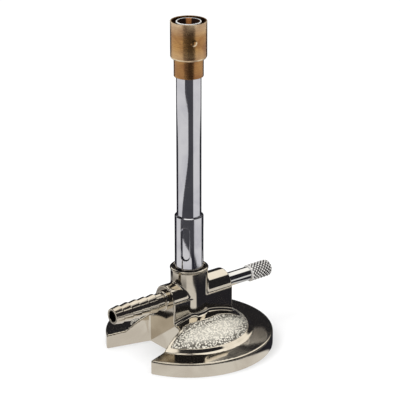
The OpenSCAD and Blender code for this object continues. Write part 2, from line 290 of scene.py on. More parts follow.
def skinOfSolid(name, distance, low, high, cell):
    # The surface where the distance is zero: one vertex in each grid cell that it crosses, at the
    # mean of its crossings of the cell's edges, and a quad across each grid edge that it crosses.
    # The vertices are then moved onto the surface along the gradient, which is also their normal.
    slab = 20  # layers worked out at a time, to save memory
    settleSteps = 4
    axes = [np.arange(a, b + cell, cell) for a, b in zip(low, high)]
    grid = np.meshgrid(*axes, indexing="ij")
    value = np.concatenate([distance(*(g[i:i + slab] for g in grid)) for i in range(0, len(axes[0]), slab)])
    inside = value < 0
    shape = np.array(value.shape) - 1
    total, crossings = np.zeros((*shape, 3)), np.zeros(shape)
    for axis in range(3):
        ahead = [slice(None)] * 3
        ahead[axis] = slice(1, None)
        behind = [slice(None)] * 3
        behind[axis] = slice(None, -1)
        va, vb = value[tuple(behind)], value[tuple(ahead)]
        crossed = inside[tuple(behind)] != inside[tuple(ahead)]
        along = np.where(crossed, va / np.where(crossed, va - vb, 1), 0)
        others = [i for i in range(3) if i != axis]
        for shiftA in (0, 1):
            for shiftB in (0, 1):
                pick = [slice(None)] * 3
                pick[others[0]] = slice(shiftA, shape[others[0]] + shiftA)
                pick[others[1]] = slice(shiftB, shape[others[1]] + shiftB)
                hit, part = crossed[tuple(pick)], along[tuple(pick)]
                crossings += hit
                total[..., axis] += part
                total[..., others[0]] += shiftA * hit
                total[..., others[1]] += shiftB * hit
    active = crossings > 0
    number = np.full(active.shape, -1, dtype=np.int64)
    number[active] = np.arange(active.sum())
    cells = np.argwhere(active)
    points = (cells + total[active] / crossings[active][:, None]) * cell + np.array(low)
    quads = []
    for axis in range(3):
        b, c = (axis + 1) % 3, (axis + 2) % 3
        ahead = [slice(1, -1)] * 3
        ahead[axis] = slice(1, None)
        behind = [slice(1, -1)] * 3
        behind[axis] = slice(None, -1)
        first, second = inside[tuple(behind)], inside[tuple(ahead)]
        where = np.argwhere(first != second)
        outward = first[tuple(where.T)]
        spot = where.copy()
        spot[:, b] += 1
        spot[:, c] += 1
        corner = []
        for back in ((1, 1), (0, 1), (0, 0), (1, 0)):
            at = spot.copy()
            at[:, b] -= back[0]
            at[:, c] -= back[1]
            corner.append(number[tuple(at.T)])
        quad = np.stack(corner, -1)
        quad[~outward] = quad[~outward][:, ::-1]
        quads.append(quad)
    quads = np.concatenate(quads)
    for _ in range(settleSteps):
        slope = gradientOf(distance, points)
        reach = distance(*points.T) / np.maximum((slope ** 2).sum(1), 0.25)
        points = points - slope * np.clip(reach, -cell / 3, cell / 3)[:, None]
    normals = gradientOf(distance, points)
    normals /= np.maximum(np.linalg.norm(normals, axis=1, keepdims=True), 1e-9)
    triangles = np.concatenate([quads[:, [0, 1, 2]], quads[:, [0, 2, 3]]])
    return makeMesh(name, points, triangles, normals[triangles])


def makeCasting():
    # The casting's skin with two masks worked out from the field's plan: "stipple" is 1 inside it
    # on the domed top, and "fieldEdge" climbs to 1 towards its border, where the painted shade between the
    # pips is strongest
    c = casting
    reach = c["footRadius"] + 1
    piece = skinOfSolid("castingBody", castingDistance,
                        (-reach, -reach, -1), (reach, reach, c["columnTop"] + 1), c["cell"])
    spots = meshPoints(piece)
    fromBall = np.linalg.norm(spots - [0, 0, c["domeTop"] - c["domeBall"]], axis=1) - c["domeBall"]
    toEdge = fieldPlan(spots[:, 0], spots[:, 1])
    addMask(piece, "stipple", smoothStep(*c["stippleFade"], toEdge) * (np.abs(fromBall) < c["topBand"]))
    addMask(piece, "fieldEdge", smoothStep(*c["edgeFade"], toEdge))
    return piece


nipple = {"length": 29.0, "crest": 4.3, "tipCrest": 4.15, "firstCrest": 4.1, "step": 0.62, "stepLength": 0.05,
          "land": 0.35, "pitch": 4.7, "count": 5, "tip": 3.55, "bore": 2.6, "neck": 0.55, "ring": 4.7,
          "ringHeight": 2.2, "shank": 4.0, "shankLength": 10.0}


def makeNipple():
    # Each barb climbs from its foot towards the arm, ends in a short land, then steps in
    n = nipple
    corners = [(n["bore"], -n["shankLength"], 0.1), (n["shank"], -n["shankLength"], 0.3),
               (n["shank"], 0, 0.02), (n["ring"], 0, 0.1), (n["ring"], n["ringHeight"], 0.35),
               (n["crest"] - n["neck"], n["ringHeight"], 0.2)]
    for i in range(n["count"] - 1, -1, -1):
        height = n["length"] - n["firstCrest"] - i * n["pitch"]
        crest = n["tipCrest"] if i == 0 else n["crest"]
        corners += [(crest - n["step"], height - n["stepLength"], 0.1), (crest, height, 0.08),
                    (crest, height + n["land"], 0.08)]
    corners += [(n["tip"], n["length"], 0.25), (n["bore"], n["length"], 0.3)]
    profile, normals = roundedProfile(corners)
    grid = layAlongX(*turned(profile, normals, fullTurn(144)), gasHeight, -1)
    grid[0][..., 0] -= casting["notchWall"]
    return joinPatches("hoseNipple", [grid])


knobLow, knobHigh = boxOf("valve_knob")
spindle = {"tip": -2.6, "tipRadius": 0.37, "needle": 1.67, "needleEnd": 3.2, "thread": 3.0, "threadEnd": 10.0,
           "neck": 2.4, "neckEnd": 12.6, "stem": 3.25, "ringGroove": 1.96, "grooveStart": 14.0,
           "grooveEnd": 15.6, "knobAt": knobLow[0], "spigot": 2.475, "spigotLength": 8.0}


def makeSpindle():
    # One profile of radius against length, from the needle's tip to the spigot, carried round
    s = spindle
    corners = [(0, s["tip"], 0), (s["tipRadius"], s["tip"], 0.1), (s["needle"], 0, 0.1),
               (s["needle"], s["needleEnd"], 0.1), (s["thread"], s["needleEnd"], 0.2),
               (s["thread"], s["threadEnd"], 0.2), (s["neck"], s["threadEnd"], 0.1),
               (s["neck"], s["neckEnd"], 0.1), (s["stem"], s["neckEnd"], 0.15),
               (s["stem"], s["grooveStart"], 0.05), (s["ringGroove"], s["grooveStart"], 0.1),
               (s["ringGroove"], s["grooveEnd"], 0.1), (s["stem"], s["grooveEnd"], 0.05),
               (s["stem"], s["knobAt"], 0.05), (s["spigot"], s["knobAt"], 0.02),
               (s["spigot"], s["knobAt"] + s["spigotLength"], 0.1), (0, s["knobAt"] + s["spigotLength"], 0)]
    profile, normals = roundedProfile(corners, closed=False)
    return joinPatches("valveStem", [layAlongX(*turned(profile, normals, fullTurn(128)), gasHeight, 1)])


knob = {"radius": 4.0, "start": knobLow[0], "length": knobHigh[0] - knobLow[0], "bevel": 0.45,
        "domeLength": 2.4, "domePower": 2.6, "starts": 14, "lead": 1.75, "depth": 0.45, "steepness": 1.7,
        "knurlFrom": (0.35, 0.8), "knurlFadeRadius": (1.2, 2.6), "play": 0.02, "holeRoom": 0.2,
        "rows": 160, "around": 288}


def makeKnob():
    # Radius along the knob, less the depth of two sets of V grooves that wind opposite ways:
    # each set's depth is a triangle wave of angle plus or minus length
    k = knob
    lengthwise = np.linspace(0, 1, k["rows"])
    along = k["length"] * lengthwise
    bevel = np.clip(along / k["bevel"], 0, 1)
    domePart = np.clip((along - k["length"] + k["domeLength"]) / k["domeLength"], 0, 1)
    dome = np.sqrt(1 - np.clip(domePart, 0, 0.9999) ** k["domePower"])
    outline = (k["radius"] - k["bevel"] * (1 - bevel)) * dome
    angles = fullTurn(k["around"])
    turns = angles[None, :] / (2 * math.pi) * k["starts"]
    wind = along[:, None] / k["lead"]
    grooves = [np.abs(((turns + way * wind) % 1) * 2 - 1) for way in (1, -1)]
    ridge = np.clip(np.minimum(*grooves) * k["steepness"], 0, 1)
    fade = smoothStep(*k["knurlFrom"], along) * smoothStep(*k["knurlFadeRadius"], outline)
    radius = outline[:, None] - k["depth"] * (1 - ridge) * fade[:, None]
    points = np.stack([radius * np.cos(angles), radius * np.sin(angles), along[:, None] + 0 * radius], -1)
    points[:, -1] = points[:, 0]
    downRows, around = np.gradient(points, axis=0), np.gradient(points, axis=1)
    around[:, 0] = around[:, -1] = (points[:, 1] - points[:, -2]) / 2
    normals = np.cross(around, downRows)
    normals /= np.maximum(np.linalg.norm(normals, axis=-1, keepdims=True), 1e-9)
    normals[-1] = (0, 0, 1)
    hole, holeEnd = spindle["spigot"] + k["play"], spindle["spigotLength"] + k["holeRoom"]
    inner = [(0, holeEnd, 0), (hole, holeEnd, 0.05), (hole, 0, 0.05), (radius[0, 0], 0, 0)]
    inProfile, inNormals = roundedProfile(inner, closed=False)
    patches = [(points, normals), turned(inProfile, inNormals, angles)]
    patches = [layAlongX(p + np.array([0, 0, k["start"]]), n, gasHeight, 1) for p, n in patches]
    piece = joinPatches("knurledKnob", patches)
    spots = meshPoints(piece) - [k["start"], 0, gasHeight]
    full = np.interp(spots[:, 0], along, outline)
    depth = (full - np.hypot(spots[:, 1], spots[:, 2])) / k["depth"]
    addMask(piece, "groove", np.clip(depth, 0, 1))
    return piece


def slotOutline(halfWidth, low, high, sideSteps, endSteps):
    # Once round a round-ended slot from its upper left: over the top, down the right, round the
    # bottom and up the left; gives (across, height) and the direction that faces into the slot
    top = np.linspace(math.pi, 0, endSteps + 1)[:-1]
    bottom = np.linspace(0, -math.pi, endSteps + 1)[:-1]
    down = np.linspace(high - halfWidth, low + halfWidth, sideSteps + 1)[:-1]
    up = down[::-1] - (down[-1] - low - halfWidth)
    across = np.concatenate([halfWidth * np.cos(top), np.full(sideSteps, halfWidth),
                             halfWidth * np.cos(bottom), np.full(sideSteps, -halfWidth)])
    height = np.concatenate([high - halfWidth + halfWidth * np.sin(top), down,
                             low + halfWidth + halfWidth * np.sin(bottom), up])
    outward = np.concatenate([np.stack([np.cos(top), np.sin(top)], -1), np.tile([1.0, 0], (sideSteps, 1)),
                              np.stack([np.cos(bottom), np.sin(bottom)], -1),
                              np.tile([-1.0, 0], (sideSteps, 1))])
    return across, height, -outward


def slottedBand(outer, inner, low, high, count, firstAngle, halfWidth, slotLow, slotHigh, endSteps, edge,
                sideSteps=12):
    # A tube wall with round-ended slots, in one sector for each slot: the wall is spread from the
    # slot's outline to the sector's border in straight lines of angle and height, with steps that
    # widen away from the slot; the slot's outer edge is rounded
    wallSteps, widening, bendSteps, roundness = 8, 1.4, 3, 0.6
    patches, loops = [], []
    half = math.pi / count
    for grow in (edge, 0.0):
        outline = slotOutline(halfWidth + grow, slotLow - grow, slotHigh + grow, sideSteps, endSteps)
        loops.append([np.append(v, v[:1], axis=0) for v in outline])
    topAngles = np.linspace(-half, half, endSteps + 1)[:-1]
    sideHeights = np.linspace(high, low, sideSteps + 1)[:-1]
    borderAngle = np.concatenate([topAngles, np.full(sideSteps, half), -topAngles, np.full(sideSteps, -half),
                                  topAngles[:1]])
    borderHeight = np.concatenate([np.full(endSteps, high), sideHeights, np.full(endSteps, low),
                                   (low + high) - sideHeights, [high]])
    spread = (np.linspace(0, 1, wallSteps + 1) ** widening)[:, None]
    for i in range(count):
        centre = firstAngle + 2 * half * i

        def wall(radius, loop, sign):
            # From the slot's outline to the border: outline plus spread times what is left to go
            angle = np.arcsin(loop[0] / radius)
            a = angle + (borderAngle - angle) * spread + centre
            z = loop[1] + (borderHeight - loop[1]) * spread
            normal = np.stack([sign * np.cos(a), sign * np.sin(a), 0 * a], -1)
            return np.stack([radius * np.cos(a), radius * np.sin(a), z], -1), normal

        def onRim(loop, radius):
            # The outline laid on a cylinder: the angle's sine is the distance across over the radius
            a = np.arcsin(loop[0] / radius) + centre
            return np.stack([radius * np.cos(a), radius * np.sin(a), loop[1]], -1)

        into = loops[1][2]
        sideways = np.stack([-into[:, 0] * math.sin(centre), into[:, 0] * math.cos(centre), into[:, 1]], -1)
        outwardAt = onRim(loops[0], outer) * [1, 1, 0] / outer
        patches.append(wall(outer, loops[0], 1))
        patches.append(wall(inner, loops[1], -1))
        bend = np.linspace(0, math.pi / 2, bendSteps + 1)[:, None, None]
        outerEdge, wallEdge = onRim(loops[0], outer), onRim(loops[1], outer - edge)
        reach = roundness * (1 - np.cos(bend)) + (1 - roundness) * np.sin(bend)
        strip = outerEdge + (wallEdge - outerEdge) * reach
        blend = outwardAt * np.cos(bend) + sideways * np.sin(bend)
        strip[0], strip[-1] = outerEdge, wallEdge
        patches.append((strip, blend / np.linalg.norm(blend, axis=-1, keepdims=True)))
        patches.append((np.stack([wallEdge, onRim(loops[1], inner)]), np.stack([sideways, sideways])))
    return patches


shutterLow, shutterHigh = boxOf("air_shutter")
shutter = {"outer": shutterHigh[0], "inner": 5.62, "low": shutterLow[2], "high": shutterHigh[2],
           "slotHalf": 2.0, "slotLow": 42.1, "slotHigh": 57.8, "slots": 3, "firstAngle": math.radians(-144.5),
           "chamfer": 0.4, "endBand": 1.0, "slotEdge": 0.2, "endSteps": 48}


def makeShutter():
    # A slotted band with a plain ring carried round at each end
    s = shutter
    bandLow, bandHigh = s["low"] + s["endBand"], s["high"] - s["endBand"]
    patches = slottedBand(s["outer"], s["inner"], bandLow, bandHigh, s["slots"], s["firstAngle"],
                          s["slotHalf"], s["slotLow"], s["slotHigh"], s["endSteps"], s["slotEdge"])
    angles = fullTurn(s["slots"] * s["endSteps"], s["firstAngle"] + math.pi / s["slots"])
    top = [(s["outer"], bandHigh, 0), (s["outer"], s["high"] - s["chamfer"], 0.12),
           (s["outer"] - s["chamfer"], s["high"], 0.1), (s["inner"], s["high"], 0.08),
           (s["inner"], bandHigh, 0)]
    bottom = [(s["inner"], bandLow, 0), (s["inner"], s["low"], 0.08), (s["outer"], s["low"], 0.15),
              (s["outer"], bandLow, 0)]
    for corners in (top, bottom):
        patches.append(turned(*roundedProfile(corners, closed=False), angles))
    return joinPatches("airSleeve", patches)


tubeLow, tubeHigh = boxOf("mixing_tube")
tube = {"outer": tubeHigh[0], "inner": 4.8, "low": tubeLow[2], "high": tubeHigh[2], "pilotHeight": 137.6,
        "pilotRadius": 0.6, "pilotStraight": 0.01, "pilots": 8, "pilotMargin": 1.6, "pilotEdge": 0.02,
        "portTurn": math.radians(-144.5 + 60), "portMargin": 2.5, "portEdge": 0.05, "rows": 9}


def makeTube():
    # A band with the air ports, a plain wall, a band with the pilot holes, and a ring at each end
    t, s = tube, shutter
    count = s["slots"] * s["endSteps"]
    seamAngle = t["portTurn"] + math.pi / s["slots"]
    portLow, portHigh = s["slotLow"] - t["portMargin"], s["slotHigh"] + t["portMargin"]
    pilotLow, pilotHigh = t["pilotHeight"] - t["pilotMargin"], t["pilotHeight"] + t["pilotMargin"]
    halfHole = t["pilotRadius"] + t["pilotStraight"]
    patches = slottedBand(t["outer"], t["inner"], portLow, portHigh, s["slots"], t["portTurn"],
                          s["slotHalf"], s["slotLow"], s["slotHigh"], s["endSteps"], t["portEdge"])
    patches += slottedBand(t["outer"], t["inner"], pilotLow, pilotHigh, t["pilots"], seamAngle,
                           t["pilotRadius"], t["pilotHeight"] - halfHole, t["pilotHeight"] + halfHole,
                           count // t["pilots"], t["pilotEdge"], sideSteps=4)
    angles = fullTurn(count, seamAngle)
    for radius, sign in ((t["outer"], 1), (t["inner"], -1)):
        profile = np.linspace([radius, portHigh], [radius, pilotLow], t["rows"])
        patches.append(turned(profile, np.tile([sign, 0.0], (len(profile), 1)), angles))
    top = [(t["outer"], pilotHigh, 0), (t["outer"], t["high"], 0.15), (t["inner"], t["high"], 0.15),
           (t["inner"], pilotHigh, 0)]
    bottom = [(t["inner"], portLow, 0), (t["inner"], t["low"], 0.1), (t["outer"], t["low"], 0.15),
              (t["outer"], portLow, 0)]
    for corners in (top, bottom):
        patches.append(turned(*roundedProfile(corners, closed=False), angles))
    return joinPatches("mixingPipe", patches)


cupLow, cupHigh = boxOf("flame_stabiliser")
cup = {"outer": cupHigh[0], "wall": 0.75, "top": cupHigh[2], "height": 16.5, "skirt": 6.55, "low": cupLow[2],
       "play": 0.015, "floor": 1.2, "roll": 0.4, "rollHeight": 0.8, "dentAngle": math.radians(-111),
       "dentBelow": 8.1, "dentRadius": 1.5, "dentDepth": 0.3, "dentBand": 2.2, "rowStep": 0.2,
       # The fades, the brim's share and the lip values place the painted highlights
       "outsideFade": (-0.5, -0.3), "rollFade": (-0.1, 0.15), "brimFade": (-0.2, -0.1), "brimWear": 0.8,
       "lipFrom": (0.8, 1.0), "lipTo": (1.35, 1.55), "lipSide": (0.1, 0.7)}


def makeCup():
    # The cup's profile carried round the axis, then a shallow round dent pressed into its wall:
    # depth falls off as one minus the square of the distance from the dent's centre
    c = cup
    floorLow = c["top"] - c["height"]
    bore = tube["outer"] + c["play"]
    dentHeight = c["top"] - c["dentBelow"]
    rowCount = round(2 * c["dentBand"] / c["rowStep"]) + 1
    rows = [(c["outer"], dentHeight - c["dentBand"] + i * c["rowStep"], 0.001) for i in range(rowCount)]
    corners = [(bore, c["low"], 0.1), (c["skirt"], c["low"], 0.2), (c["skirt"], floorLow, 0.15),
               (c["outer"] - c["roll"], floorLow, 0.1), (c["outer"], floorLow + c["rollHeight"], 0.3), *rows,
               (c["outer"], c["top"], 0.14), (c["outer"] - c["wall"], c["top"], 0.14),
               (c["outer"] - c["wall"], floorLow + c["floor"], 0.4), (bore, floorLow + c["floor"], 0.1)]
    profile, normals = roundedProfile(corners, steps=4)
    points, normals = turned(profile, normals, fullTurn(288))
    centre = np.array([math.cos(c["dentAngle"]) * c["outer"], math.sin(c["dentAngle"]) * c["outer"],
                       dentHeight])
    away = points - centre
    distance = np.linalg.norm(away, axis=-1)
    inDent = np.clip(1 - (distance / c["dentRadius"]) ** 2, 0, None) * (normals @ (centre * [1, 1, 0]) > 0)
    slope = np.where(inDent > 0, 2 * c["dentDepth"] * distance / c["dentRadius"] ** 2, 0)[..., None]
    points = points - normals * (c["dentDepth"] * inDent)[..., None]
    normals = normals + slope * away / np.maximum(distance, 1e-6)[..., None]
    normals = normals / np.linalg.norm(normals, axis=-1, keepdims=True)
    piece = joinPatches("stabiliserCup", [(points, normals)])
    spots = meshPoints(piece)
    # Painted highlights, on the outside only: pale brass along the rolled foot and the brim
    outside = smoothStep(*c["outsideFade"], np.hypot(spots[:, 0], spots[:, 1]) - c["outer"])
    roll = 1 - smoothStep(*c["rollFade"], spots[:, 2] - floorLow - c["rollHeight"])
    brim = smoothStep(*c["brimFade"], spots[:, 2] - c["top"]) * c["brimWear"]
    # A painted highlight: a pale crescent on the dent's lower right lip
    fromDent = spots - centre
    span = np.linalg.norm(fromDent, axis=1)
    beside = fromDent @ np.array([math.sin(-c["dentAngle"]), math.cos(c["dentAngle"]), 0])
    lip = smoothStep(*c["lipFrom"], span) * (1 - smoothStep(*c["lipTo"], span))
    lip *= smoothStep(*c["lipSide"], (beside - fromDent[:, 2]) / math.sqrt(2))
    addMask(piece, "paintedHighlight", outside * np.maximum(np.maximum(roll, brim), lip))
    return piece


def newGroup(name, inputs, outputs):
    # An empty node group with the sockets listed, and its two end nodes
    group = bpy.data.node_groups.new(name, "ShaderNodeTree")
    for label, kind, default in inputs:
        socket = group.interface.new_socket(name=label, in_out="INPUT", socket_type=kind)
        socket.default_value = default
    for label, kind in outputs:
        group.interface.new_socket(name=label, in_out="OUTPUT", socket_type=kind)
    start, end = group.nodes.new("NodeGroupInput"), group.nodes.new("NodeGroupOutput")
    return group, start, end


def feed(node, inputs):
    # Links each socket given into the node's input of that name, or sets a plain value on it
    for key, value in inputs.items():
        if isinstance(value, bpy.types.NodeSocket):
            node.id_data.links.new(value, node.inputs[key])
        else:
            node.inputs[key].default_value = value


def addNode(tree, kind, inputs=None, **settings):
    # A node with its settings and its inputs
    node = tree.nodes.new(kind)
    for key, value in settings.items():
        setattr(node, key, value)
    feed(node, inputs or {})
    return node


def mathOut(tree, operation, *values):
    # The operation on one value or two; a third is taken in with the result of those, and so on
    result = addNode(tree, "ShaderNodeMath", dict(enumerate(values[:2])), operation=operation).outputs[0]
    return mathOut(tree, operation, result, *values[2:]) if len(values) > 2 else result


def rampOut(tree, value, low, high, outLow=0.0, outHigh=1.0):
    # A soft step from outLow, where the value is low, to outHigh, where it is high
    node = addNode(tree, "ShaderNodeMapRange", {"Value": value, "From Min": low, "From Max": high,
                                               "To Min": outLow, "To Max": outHigh},
                   interpolation_type="SMOOTHSTEP")
    return node.outputs["Result"]


def mixOut(tree, factor, first, second):
    # The first colour at a factor of 0, the second at 1
    return addNode(tree, "ShaderNodeMix", {0: factor, 6: first, 7: second}, data_type="RGBA").outputs[2]


def maskOut(tree, name):
    # A mask worked out with the mesh
    return addNode(tree, "ShaderNodeAttribute", attribute_name=name).outputs["Fac"]


def objectPoint(tree):
    # The place on the piece, in metres from the part's origin
    return tree.nodes.new("ShaderNodeTexCoord").outputs["Object"]


def makeHandlingGroup():
    # Faint smears and a fine orange peel of plating, both in Object coordinates
    group, start, end = newGroup("platingWear",
                                 [("Vector", "NodeSocketVector", (0, 0, 0)),
                                  ("Smear Size", "NodeSocketFloat", 90),
                                  ("Peel Size", "NodeSocketFloat", 900)],
                                 [("Smear", "NodeSocketFloat"), ("Peel", "NodeSocketFloat")])
    smear = addNode(group, "ShaderNodeTexNoise", {"Vector": start.outputs["Vector"], "Detail": 4.0,
                                                  "Scale": start.outputs["Smear Size"], "Distortion": 0.8})
    peel = addNode(group, "ShaderNodeTexNoise", {"Vector": start.outputs["Vector"], "Detail": 2.0,
                                                 "Scale": start.outputs["Peel Size"]})
    group.links.new(rampOut(group, smear.outputs[0], 0.35, 0.7), end.inputs["Smear"])
    group.links.new(peel.outputs[0], end.inputs["Peel"])
    return group


def makeTurningGroup():
    # Fine rings left by the lathe: a noise stretched round one axis
    group, start, end = newGroup("turningLines",
                                 [("Vector", "NodeSocketVector", (0, 0, 0)),
                                  ("Stretch", "NodeSocketVector", (1, 1, 1))],
                                 [("Lines", "NodeSocketFloat")])
    scaled = addNode(group, "ShaderNodeVectorMath", {0: start.outputs["Vector"], 1: start.outputs["Stretch"]},
                     operation="MULTIPLY")
    lines = addNode(group, "ShaderNodeTexNoise", {"Vector": scaled.outputs[0], "Scale": 1.0, "Detail": 3.0,
                                                  "Roughness": 0.6})
    group.links.new(lines.outputs[0], end.inputs["Lines"])
    return group


def makeGrainGroup():
    # The stippled field's grain: rounded pips of two sizes, and painted shade in the hollows between them
    group, start, end = newGroup("castGrain",
                                 [("Vector", "NodeSocketVector", (0, 0, 0)),
                                  ("Size", "NodeSocketFloat", 1500)],
                                 [("Height", "NodeSocketFloat"), ("Hollow Shade", "NodeSocketFloat")])
    pips = addNode(group, "ShaderNodeTexVoronoi", {"Vector": start.outputs["Vector"],
                                                   "Scale": start.outputs["Size"]}, feature="SMOOTH_F1")
    feed(pips, {"Smoothness": 0.35})
    fineSize = mathOut(group, "MULTIPLY", start.outputs["Size"], 0.7)
    fine = addNode(group, "ShaderNodeTexNoise", {"Vector": start.outputs["Vector"], "Detail": 3.0,
                                                 "Scale": fineSize})
    height = mathOut(group, "ADD", mathOut(group, "MULTIPLY", pips.outputs["Distance"], -1.0),
                     mathOut(group, "MULTIPLY", fine.outputs[0], 0.5))
    group.links.new(height, end.inputs["Height"])
    # Painted shade: 1 in the hollows between the pips, 0 on their tops
    group.links.new(rampOut(group, pips.outputs["Distance"], 0.3, 0.62), end.inputs["Hollow Shade"])
    return group


platingWear, turningLines, castGrain = makeHandlingGroup(), makeTurningGroup(), makeGrainGroup()


def placeGroup(tree, group, inputs):
    # The group as one node in a material
    return addNode(tree, "ShaderNodeGroup", inputs, node_tree=group)


def newMaterial(name, baseColour, roughness, metallic=1.0):
    # A material whose constant values sit on the shader's own sockets
    material = bpy.data.materials.new(name)
    material.use_nodes = True
    tree = material.node_tree
    shader = tree.nodes["Principled BSDF"]
    feed(shader, {"Base Color": (*baseColour, 1), "Roughness": roughness, "Metallic": metallic})
    return material, tree, shader


def bumpInto(tree, shader, height, distance):
    # Tilts the normal as if the surface rose by the height times the distance
    bump = addNode(tree, "ShaderNodeBump", {"Height": height, "Strength": 1.0, "Distance": distance})
    feed(shader, {"Normal": bump.outputs[0]})


def platedMetal(name, colour, darker, roughness, peelBump, linesStretch, linesBump):
    # Polished plating: smears change its roughness and tint a little, peel and turning lines its height
    material, tree, shader = newMaterial(name, colour, roughness)
    point = objectPoint(tree)
    wear = placeGroup(tree, platingWear, {"Vector": point})
    smear = wear.outputs["Smear"]
    feed(shader, {"Base Color": mixOut(tree, smear, (*colour, 1), (*darker, 1)),
                  "Roughness": rampOut(tree, smear, 0, 1, roughness, roughness + 0.07)})
    lines = placeGroup(tree, turningLines, {"Vector": point, "Stretch": linesStretch})
    cut = mathOut(tree, "MULTIPLY", lines.outputs["Lines"], linesBump)
    bumpInto(tree, shader, mathOut(tree, "ADD", wear.outputs["Peel"], cut), peelBump * mm)
    return material


# The darkest colour is painted shade for the hollows between the field's pips
nickel = {"colour": (0.70, 0.645, 0.55), "darker": (0.60, 0.54, 0.45), "roughness": 0.06,
          "smearRoughness": 0.06, "smearSize": 60.0, "grainSize": 1150.0, "innerHollowShade": 0.45,
          "peelHeight": 0.02, "bump": 0.22, "fieldColour": (0.90, 0.86, 0.76),
          "fieldHollowShade": (0.12, 0.11, 0.09), "fieldRoughness": 0.36, "fieldMetal": 0.45}


def castingMaterial():
    # Polished nickel where the stipple mask is 0, and pale pips with dark painted shade in the hollows
    # between them where it is 1; the painted shade is fainter away from the field's border
    n = nickel
    material, tree, shader = newMaterial("castNickel", n["colour"], n["roughness"])
    point = objectPoint(tree)
    wear = placeGroup(tree, platingWear, {"Vector": point, "Smear Size": n["smearSize"]})
    grain = placeGroup(tree, castGrain, {"Vector": point, "Size": n["grainSize"]})
    mask, smear = maskOut(tree, "stipple"), wear.outputs["Smear"]
    polished = mixOut(tree, smear, (*n["colour"], 1), (*n["darker"], 1))
    hollowShade = mathOut(tree, "MULTIPLY", grain.outputs["Hollow Shade"],
                    rampOut(tree, maskOut(tree, "fieldEdge"), 0, 1, n["innerHollowShade"], 1.0))
    stippled = mixOut(tree, hollowShade, (*n["fieldColour"], 1), (*n["fieldHollowShade"], 1))
    smooth = rampOut(tree, smear, 0, 1, n["roughness"], n["roughness"] + n["smearRoughness"])
    rough = addNode(tree, "ShaderNodeMix", {0: mask, 2: smooth, 3: n["fieldRoughness"]})
    feed(shader, {"Base Color": mixOut(tree, mask, polished, stippled), "Roughness": rough.outputs[0],
                  "Metallic": rampOut(tree, mask, 0, 1, 1.0, n["fieldMetal"])})
    height = mathOut(tree, "ADD", mathOut(tree, "MULTIPLY", wear.outputs["Peel"], n["peelHeight"]),
                     mathOut(tree, "MULTIPLY", grain.outputs["Height"], mask))
    bumpInto(tree, shader, height, n["bump"] * mm)
    return material


# The near-black colour is painted shade for the knurl's grooves
knurl = {"colour": (0.95, 0.93, 0.90), "grime": (0.012, 0.007, 0.006), "roughness": 0.3, "metal": 0.35,
         "grimeRoughness": 0.55, "grimeFrom": (0.2, 0.55), "smearSize": 200.0, "smearShift": 0.1,
         "bump": 0.006}


def knurledMetal(name):
    # Bright pyramids with painted shade between them: the groove's depth, shifted a little by the
    # smears, is turned into near-black painted shade by a soft step
    k = knurl
    material, tree, shader = newMaterial(name, k["colour"], k["roughness"])
    wear = placeGroup(tree, platingWear, {"Vector": objectPoint(tree), "Smear Size": k["smearSize"]})
    shift = rampOut(tree, wear.outputs["Smear"], 0, 1, -k["smearShift"], k["smearShift"])
    grime = rampOut(tree, mathOut(tree, "ADD", maskOut(tree, "groove"), shift), *k["grimeFrom"])
    feed(shader, {"Base Color": mixOut(tree, grime, (*k["colour"], 1), (*k["grime"], 1)),
                  "Roughness": rampOut(tree, grime, 0, 1, k["roughness"], k["grimeRoughness"]),
                  "Metallic": rampOut(tree, grime, 0, 1, k["metal"], 0.0)})
    bumpInto(tree, shader, wear.outputs["Peel"], k["bump"] * mm)
    return material


# The pale rim colour is a painted highlight, the near-black one painted shade in the bore, and the brown one
# a painted reflection of the brass
chrome = {"colour": (0.71, 0.71, 0.745), "darker": (0.60, 0.60, 0.65), "rim": (0.86, 0.85, 0.82),
          "boreShade": (0.03, 0.014, 0.01), "brassReflection": (0.62, 0.25, 0.08), "reflectionAngle": math.radians(52),
          "reflectionFrom": (0.955, 0.99), "roughness": 0.045, "rimBelow": (0.45, 0.25), "rimFrom": (0.15, 0.3),
          "boreFrom": (0.25, 0.1), "shadeBelow": (30, 8), "shadeWeight": 0.8, "paintedLightRoughness": 0.4,
          "paintedLightMetal": 0.25}


